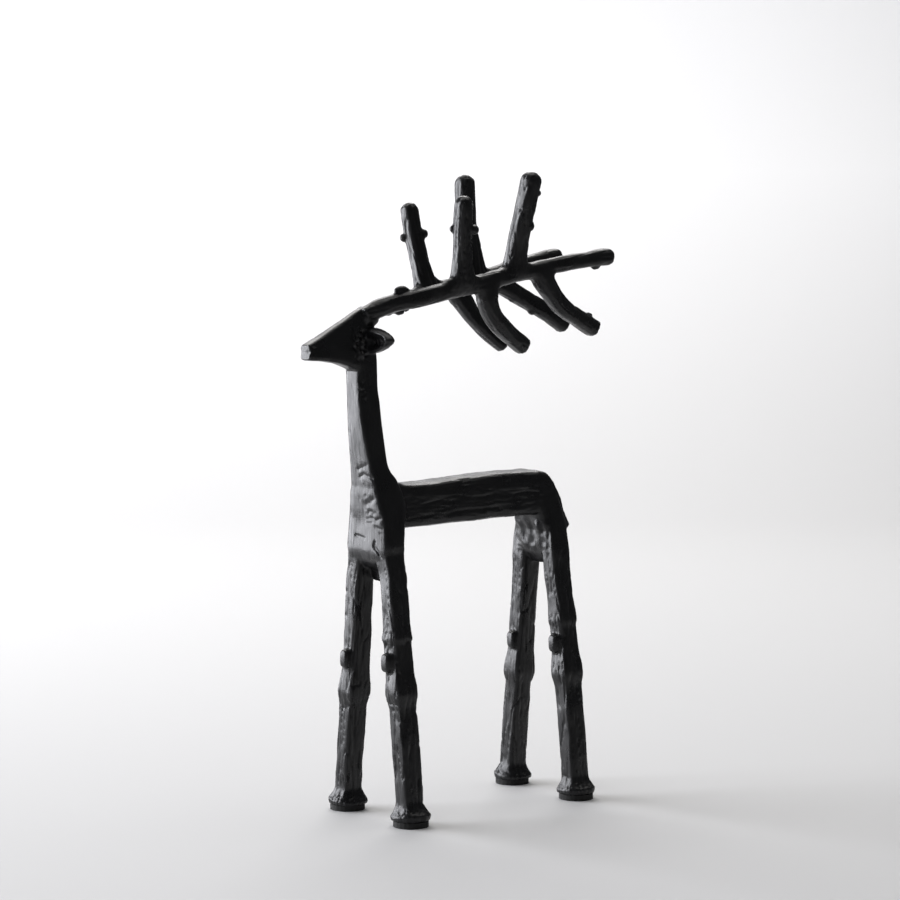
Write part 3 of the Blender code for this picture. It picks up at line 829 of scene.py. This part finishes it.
def places_of(mesh):
    """Every vertex's place, as rows."""
    flat = np.empty(len(mesh.vertices) * 3, np.float32)
    mesh.vertices.foreach_get("co", flat)
    return flat.reshape(-1, 3).astype(float)


def normals_of(mesh):
    """Every vertex's normal, as rows."""
    flat = np.empty(len(mesh.vertices) * 3, np.float32)
    mesh.vertex_normals.foreach_get("vector", flat)
    return flat.reshape(-1, 3).astype(float)


def put_places(mesh, places):
    """Move every vertex to its row of places."""
    mesh.vertices.foreach_set("co", places.astype(np.float32).ravel())
    mesh.update()


def groove_noise(y, lane, seed):
    """Noise along the back, with a lane of its own for each groove."""
    spots = np.stack([y / GROOVE_BREAK, np.full_like(y, lane), np.zeros_like(y)], axis=1)
    return hills(spots, seed)


def carve_back(mesh):
    """Press the bark grooves into both sides of the back."""
    places, normals = places_of(mesh), normals_of(mesh)
    x, y, z = places.T
    inside = np.minimum(y - GROOVE_START_Y, GROOVE_END_Y - y) / GROOVE_FADE
    depth_share = np.clip(inside, 0, 1) * (np.abs(normals[:, 0]) >= GROOVE_FACING)
    share = (y - GROOVE_START_Y) / (GROOVE_END_Y - GROOVE_START_Y)
    for front_z, rump_z, depth in BACK_GROOVES:
        wave = GROOVE_WAVE * groove_noise(y, rump_z / MM, GROOVE_WAVE_SEED)
        away = (z - front_z - (rump_z - front_z) * share - wave) / GROOVE_HALF_WIDTH
        uneven = groove_noise(y, front_z / MM, GROOVE_DEPTH_SEED)
        broken = GROOVE_STRENGTH + GROOVE_UNEVENNESS * uneven
        places[:, 0] -= np.sign(x) * depth * depth_share * broken * np.exp(-away * away)
    put_places(mesh, places)


def hills(places, seed):
    """Smooth rolling noise, from about -1 to 1, at rows of places."""
    draw = np.random.RandomState(seed)
    order = draw.permutation(NOISE_TABLE)
    slopes = draw.normal(size=(NOISE_TABLE, 3))
    slopes /= np.linalg.norm(slopes, axis=1)[:, None]
    low = np.floor(places).astype(int)
    part = places - low
    ease = part**3 * (part * (part * 6 - 15) + 10)
    total = np.zeros(len(places))
    last = NOISE_TABLE - 1
    for corner in np.ndindex(2, 2, 2):
        step = np.array(corner)
        cell = (low + step) & last
        pick = order[(order[(order[cell[:, 0]] + cell[:, 1]) & last] + cell[:, 2]) & last]
        share = np.prod(np.where(step == 1, ease, 1 - ease), axis=1)
        total += share * np.sum(slopes[pick] * (part - step), axis=1)
    return NOISE_GAIN * total


def near_axes(places):
    """For each place its two nearest twigs: how near, which one, and the place along it."""
    count = len(places)
    gap = np.full((2, count), NO_TWIG)
    which = np.zeros((2, count), int)
    local = np.zeros((2, count, 3))
    for number, axis in enumerate(AXES):
        low = axis["places"].min(axis=0) - SEARCH_REACH
        high = axis["places"].max(axis=0) + SEARCH_REACH
        near = np.flatnonzero(np.all((places > low) & (places < high), axis=1))
        spots = places[near]
        middle = axis["places"]
        square = (spots**2).sum(1)[:, None] + (middle**2).sum(1)[None] - 2 * spots @ middle.T
        row = np.argmin(square, axis=1)
        away = spots - middle[row]
        u = np.sum(away * axis["wides"][row], axis=1)
        v = np.sum(away * axis["deeps"][row], axis=1)
        far = axis["far"][row] + np.sum(away * axis["alongs"][row], axis=1)
        past = np.maximum(0, far - axis["far"][-1]) + np.maximum(0, -far)
        half = axis["halves"][row]
        dist = np.sqrt((u / half[:, 0]) ** 2 + (v / half[:, 1]) ** 2) + past / half[:, 0]
        spot = np.stack([u, v, far], axis=1)
        first = dist < gap[0, near]
        second = ~first & (dist < gap[1, near])
        best = near[first]
        gap[1, best], which[1, best], local[1, best] = gap[0, best], which[0, best], local[0, best]
        gap[0, best], which[0, best], local[0, best] = dist[first], number, spot[first]
        next_best = near[second]
        gap[1, next_best], which[1, next_best], local[1, next_best] = dist[second], number, spot[second]
    return gap, which, local


def bark_height(which, local):
    """How far the bark stands out, in metres, at places along the twigs."""
    settings = np.array([axis["bark"] for axis in AXES])[which]
    shift = np.random.RandomState(SHIFT_SEED).uniform(0, SHIFT_RANGE, (len(AXES), 3))[which]
    spots = local / MM
    wobble = hills(spots / WOBBLE_GRAIN + shift, WOBBLE_SEED) * settings[:, 0]
    folds = np.abs(hills(spots / RIDGE_GRAIN + shift, RIDGE_SEED))
    ridges = (RIDGE_TOP - RIDGE_STEEPNESS * folds) * settings[:, 1]
    splits = np.abs(hills(spots / CRACK_GRAIN + shift, CRACK_SEED))
    cracks = -np.clip(1 - splits / CRACK_HALF_WIDTH, 0, 1) * settings[:, 2]
    pits = hills(spots / PIT_GRAIN + shift, PIT_SEED) * PITS
    return (wobble + ridges + cracks + pits) * MM


def grow_bark(mesh):
    """Raise the bark all over, along each twig, and keep how upright each place's twig is."""
    places, normals = places_of(mesh), normals_of(mesh)
    gap, which, local = near_axes(places)
    main = 0.5 + 0.5 * np.clip((gap[1] - gap[0]) / BLEND_GAP, 0, 1)
    height = main * bark_height(which[0], local[0])
    height += (1 - main) * bark_height(which[1], local[1])
    height *= np.clip((KNOB_GAP - gap[0]) / BLEND_GAP, KNOB_BARK, 1)
    put_places(mesh, places + normals * height[:, None])
    steep = np.array([abs(axis["alongs"][:, 2]).mean() for axis in AXES])
    upright = main * steep[which[0]] + (1 - main) * steep[which[1]]
    kept = mesh.attributes.new("upright", "FLOAT", "POINT")
    kept.data.foreach_set("value", upright.astype(np.float32))


def fill_joints(mesh):
    """Melt the joints of the antlers into fillets."""
    places = places_of(mesh)
    gap, which, _ = near_axes(places)
    antler = np.array([axis["bark"] in ANTLER_BARKS for axis in AXES])
    share = np.clip((FILLET_GAP - gap[1]) / FILLET_EASE, 0, 1)
    share *= antler[which[0]] & antler[which[1]]
    ends = np.empty(len(mesh.edges) * 2, np.int32)
    mesh.edges.foreach_get("vertices", ends)
    one, other = ends.reshape(-1, 2).T
    touched = (share[one] > 0) | (share[other] > 0)
    one, other = one[touched], other[touched]
    count = np.bincount(one, minlength=len(places)) + np.bincount(other, minlength=len(places))
    count = np.maximum(count, 1)
    for _ in range(FILLET_PASSES):
        total = np.zeros_like(places)
        for k in range(3):
            total[:, k] += np.bincount(one, places[other, k], len(places))
            total[:, k] += np.bincount(other, places[one, k], len(places))
        places += (total / count[:, None] - places) * share[:, None]
    put_places(mesh, places)


def press(places, normals, line, half_width, depth, facing):
    """Press a soft groove along a line into the side of the casting that faces one way."""
    line = np.array(line, float) * MM
    reach = MARK_REACH * half_width * MM
    near = np.flatnonzero(
        np.all((places > line.min(axis=0) - reach) & (places < line.max(axis=0) + reach), axis=1)
    )
    spots = places[near]
    gap = np.full(len(near), NO_MARK)
    for start, end in zip(line, line[1:]):
        step = end - start
        share = np.clip((spots - start) @ step / (step @ step), 0, 1)
        gap = np.minimum(gap, np.linalg.norm(spots - start - share[:, None] * step, axis=1))
    turned = np.clip(normals[near] @ np.array(facing, float), 0, 1)
    broken = hills(spots / MM / MARK_BREAK, MARK_SEED)
    gap *= 1 + MARK_WOBBLE * broken
    uneven = 1 + MARK_UNEVENNESS * broken
    amount = depth * MM * uneven * np.exp(-((gap / (half_width * MM)) ** 2)) * turned
    places[near] -= amount[:, None] * np.array(facing, float)


def roughen(places, normals, low, high, grain, height, facing):
    """Raise and sink small lumps all over one patch of the casting that faces one way."""
    facing = np.array(facing, float)
    spots = places / MM
    above = np.clip((spots - low) / PATCH_EASE, 0, 1)
    below = np.clip((high - spots) / PATCH_EASE, 0, 1)
    inside = np.prod(above * below, axis=1)
    turned = np.clip(normals @ facing, 0, 1)
    lumps = height * MM * hills(spots / grain, PATCH_SEED) * inside * turned
    places += lumps[:, None] * facing


def carve_marks(mesh):
    """Press in the wrinkles, cracks, hollows and nostrils, and roughen the rough patches."""
    places, normals = places_of(mesh), normals_of(mesh)
    for line, half_width, depth in FRONT_MARKS:
        press(places, normals, line, half_width, depth, FRONT)
    for low, high, grain, height, facing in ROUGH_PATCHES:
        roughen(places, normals, np.array(low), np.array(high), np.array(grain), height, facing)
    for x, y, z in KNEE_HOLLOWS:
        line = [(x, y, z - HOLLOW_BELOW), (x, y, z + HOLLOW_ABOVE)]
        press(places, normals, line, HOLLOW_HALF_WIDTH, HOLLOW_DEPTH, FRONT)
    for side in (LEFT, RIGHT):
        nostril = [(side * x, y, z) for x, y, z in NOSTRIL]
        press(places, normals, nostril, NOSTRIL_HALF_WIDTH, NOSTRIL_DEPTH, (side, 0, 0))
    put_places(mesh, places)


def thinned(mesh, triangles):
    """The same mesh with fewer triangles."""
    thing = bpy.data.objects.new("thinned", mesh)
    bpy.context.scene.collection.objects.link(thing)
    now = sum(len(face.vertices) - 2 for face in mesh.polygons)
    thin = thing.modifiers.new("thin", "DECIMATE")
    thin.ratio = min(1.0, triangles / now)
    made = baked(thing)
    bpy.data.objects.remove(thing)
    return made


def trim_soles(mesh):
    """Cut the feet flat at the sole, just above the pads, and close the cuts."""
    body = bmesh.new()
    body.from_mesh(mesh)
    bmesh.ops.bisect_plane(
        body,
        geom=body.verts[:] + body.edges[:] + body.faces[:],
        dist=CUT_TOLERANCE,
        plane_co=(0, 0, SOLE_Z),
        plane_no=(0, 0, 1),
        clear_inner=True,
    )
    rims = [edge for edge in body.edges if edge.is_boundary]
    bmesh.ops.holes_fill(body, edges=rims, sides=0)
    bmesh.ops.recalc_face_normals(body, faces=body.faces)
    body.to_mesh(mesh)
    body.free()


def keep_inside(mesh, low, high):
    """Move any vertex that reached out of the frame's box back onto it."""
    put_places(mesh, np.clip(places_of(mesh), np.array(low) + BOX_MARGIN, np.array(high) - BOX_MARGIN))


def casting():
    """The whole animal."""
    shapes = legs() + neck_and_chest() + back() + haunch() + head() + ears() + antlers()
    mesh = fuse(shapes)
    carve_back(mesh)
    fill_joints(mesh)
    grow_bark(mesh)
    carve_marks(mesh)
    mesh = thinned(mesh, CASTING_TRIANGLES)
    mesh.transform(Matrix.Translation((0, -MIDDLE_Y, 0)))
    trim_soles(mesh)
    keep_inside(mesh, *CAD_BOX)
    made = bpy.data.objects.new("casting", mesh)
    bpy.context.scene.collection.objects.link(made)
    for face in mesh.polygons:
        face.use_smooth = True
    made.data.materials.clear()
    made.data.materials.append(paint())
    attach(made, "root")
    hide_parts("reindeer_casting")
    return made


def shader_of(name):
    """A new material, its node tree and its shader."""
    made = bpy.data.materials.new(name)
    made.use_nodes = True
    return made, made.node_tree, made.node_tree.nodes["Principled BSDF"]


def noise(tree, scale, detail, stretch=(1, 1, 1)):
    """Noise in the object's own space, stretched along the way that has the smallest share."""
    place = tree.nodes.new("ShaderNodeTexCoord")
    stretched = tree.nodes.new("ShaderNodeMapping")
    stretched.inputs["Scale"].default_value = stretch
    made = tree.nodes.new("ShaderNodeTexNoise")
    made.inputs["Scale"].default_value = scale
    made.inputs["Detail"].default_value = detail
    tree.links.new(place.outputs["Object"], stretched.inputs["Vector"])
    tree.links.new(stretched.outputs["Vector"], made.inputs["Vector"])
    return made.outputs["Fac"]


def spread(tree, source, start, end, low, high):
    """A value that runs from low to high while its source runs from start to end."""
    made = tree.nodes.new("ShaderNodeMapRange")
    for name, value in (("From Min", start), ("From Max", end), ("To Min", low), ("To Max", high)):
        made.inputs[name].default_value = value
    tree.links.new(source, made.inputs["Value"])
    return made.outputs["Result"]


def blend(tree, share, one, other):
    """One colour going over into another."""
    made = tree.nodes.new("ShaderNodeMix")
    made.data_type = "RGBA"
    tree.links.new(share, made.inputs["Factor"])
    for socket, colour in ((made.inputs[6], one), (made.inputs[7], other)):
        if isinstance(colour, tuple):
            socket.default_value = colour
        else:
            tree.links.new(colour, socket)
    return made.outputs[2]


def bumps(tree, height, strength, depth, under=None):
    """A bumpy normal, on top of another one if that is given."""
    made = tree.nodes.new("ShaderNodeBump")
    made.inputs["Strength"].default_value = strength
    made.inputs["Distance"].default_value = depth
    tree.links.new(height, made.inputs["Height"])
    if under:
        tree.links.new(under, made.inputs["Normal"])
    return made.outputs["Normal"]


def paint():
    """Satin black paint over rough cast metal: grain along the twigs, patchy gloss, and sharp edges
    painted lighter, as rubbed paint and as painted edge highlights.
    """
    made, tree, shader = shader_of("satin_black_paint")
    shader.inputs["Specular IOR Level"].default_value = PAINT_SHINE
    patches = noise(tree, *PAINT_PATCHES)
    edges = tree.nodes.new("ShaderNodeNewGeometry").outputs["Pointiness"]
    # Sharp edges are painted lighter: rubbed paint, and painted edge highlights
    worn_and_highlit = spread(tree, edges, *WORN_AND_HIGHLIT_EDGES, 0.0, 1.0)
    tone = blend(tree, patches, PAINT_DARK, PAINT_LIGHT)
    tree.links.new(blend(tree, worn_and_highlit, tone, PAINT_WORN_AND_HIGHLIGHT), shader.inputs["Base Color"])
    gloss = spread(tree, patches, *PATCH_CONTRAST, *PAINT_ROUGHNESS)
    tree.links.new(gloss, shader.inputs["Roughness"])

    along = tree.nodes.new("ShaderNodeMix")
    upright = tree.nodes.new("ShaderNodeAttribute")
    upright.attribute_name = "upright"
    tree.links.new(upright.outputs["Fac"], along.inputs["Factor"])
    tree.links.new(noise(tree, *GRAIN, GRAIN_LENGTHWISE), along.inputs["A"])
    tree.links.new(noise(tree, *GRAIN, GRAIN_UPRIGHT), along.inputs["B"])
    grain = bumps(tree, along.outputs["Result"], *GRAIN_BUMP)
    sand = bumps(tree, noise(tree, *SAND), *SAND_BUMP, grain)
    tree.links.new(sand, shader.inputs["Normal"])
    return made


def rubber():
    """Matte black rubber, a little dusty."""
    made, tree, shader = shader_of("matte_black_rubber")
    dust = noise(tree, *DUST)
    tree.links.new(blend(tree, dust, RUBBER_DARK, RUBBER_DUSTY), shader.inputs["Base Color"])
    gloss = spread(tree, dust, *DUST_CONTRAST, *RUBBER_ROUGHNESS)
    tree.links.new(gloss, shader.inputs["Roughness"])
    tree.links.new(bumps(tree, noise(tree, *RUBBER_GRAIN), *RUBBER_BUMP), shader.inputs["Normal"])
    return made


def pads():
    """The foot pads keep their own shape, in rubber."""
    finish = rubber()
    for name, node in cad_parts.items():
        if name.endswith("_pad"):
            node.data.materials.clear()
            node.data.materials.append(finish)


def camera():
    """The photo's view: a long lens, from the animal's left and front, a little above."""
    lens = bpy.data.cameras.new("camera")
    lens.angle = LENS_ANGLE
    made = bpy.data.objects.new("camera", lens)
    made.location = CAMERA_PLACE
    level = cos(CAMERA_PITCH)
    ahead = Vector((-sin(CAMERA_TURN) * level, cos(CAMERA_TURN) * level, -sin(CAMERA_PITCH)))
    made.rotation_euler = ahead.to_track_quat("-Z", "Y").to_euler()
    bpy.context.scene.collection.objects.link(made)
    bpy.context.scene.camera = made


def panel(name, place, target, size, power, colour):
    """A soft rectangular light."""
    light = bpy.data.lights.new(name, "AREA")
    light.shape = "RECTANGLE"
    light.size, light.size_y = size
    light.energy = power
    light.color = colour
    made = bpy.data.objects.new(name, light)
    made.location = place
    made.rotation_euler = (Vector(target) - Vector(place)).to_track_quat("-Z", "Y").to_euler()
    bpy.context.scene.collection.objects.link(made)


def sweep():
    """A pale floor that curves up into a backdrop."""
    ahead = Vector((-sin(CAMERA_TURN), cos(CAMERA_TURN), 0))
    right = Vector((cos(CAMERA_TURN), sin(CAMERA_TURN), 0))
    profile = [(-SWEEP_NEAR, 0.0)]
    for k in range(SWEEP_STEPS + 1):
        angle = k / SWEEP_STEPS * pi / 2
        profile.append((SWEEP_FAR + SWEEP_RADIUS * sin(angle), SWEEP_RADIUS * (1 - cos(angle))))
    profile.append((SWEEP_FAR + SWEEP_RADIUS, SWEEP_TOP))
    sheet = bmesh.new()
    rows = []
    for far, up in profile:
        row = [ahead * far + right * across + UPWARD * up for across in (-SWEEP_LEFT, SWEEP_RIGHT)]
        rows.append([sheet.verts.new(point) for point in row])
    for near, far in zip(rows, rows[1:]):
        sheet.faces.new((near[0], near[1], far[1], far[0])).smooth = True
    mesh = bpy.data.meshes.new("floor")
    sheet.to_mesh(mesh)
    sheet.free()
    floor = bpy.data.objects.new("floor", mesh)
    bpy.context.scene.collection.objects.link(floor)
    made, tree, shader = shader_of("pale_floor")
    place = tree.nodes.new("ShaderNodeTexCoord")
    parts = tree.nodes.new("ShaderNodeSeparateXYZ")
    tree.links.new(place.outputs["Object"], parts.inputs["Vector"])
    rise = spread(tree, parts.outputs["Z"], *FLOOR_TO_WALL, 0.0, 1.0)
    tree.links.new(blend(tree, rise, FLOOR_COLOUR, WALL_COLOUR), shader.inputs["Base Color"])
    shader.inputs["Roughness"].default_value = FLOOR_ROUGHNESS
    mesh.materials.append(made)


def studio():
    """A pale sweep, a large soft window on the animal's front, and soft lights above and behind."""
    sweep()
    panel("window", WINDOW_PLACE, WINDOW_TARGET, WINDOW_SIZE, WINDOW_POWER, WINDOW_COLOUR)
    panel("back", BACK_PLACE, BACK_TARGET, BACK_SIZE, BACK_POWER, SKY_COLOUR)
    panel("sky", SKY_PLACE, SKY_TARGET, SKY_SIZE, SKY_POWER, SKY_COLOUR)
    world = bpy.data.worlds.new("room")
    world.use_nodes = True
    room = world.node_tree.nodes["Background"]
    room.inputs["Color"].default_value = ROOM_COLOUR
    room.inputs["Strength"].default_value = ROOM_STRENGTH
    bpy.context.scene.world = world
    bpy.context.scene.view_settings.view_transform = "Standard"


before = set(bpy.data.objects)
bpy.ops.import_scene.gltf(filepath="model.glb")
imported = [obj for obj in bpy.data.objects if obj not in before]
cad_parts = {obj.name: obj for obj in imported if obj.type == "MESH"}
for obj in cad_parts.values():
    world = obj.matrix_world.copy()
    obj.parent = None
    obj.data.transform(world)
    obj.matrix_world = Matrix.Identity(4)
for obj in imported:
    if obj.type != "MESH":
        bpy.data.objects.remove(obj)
CAD_BOX = [list(corner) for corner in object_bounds()]
casting()
pads()
studio()
camera()
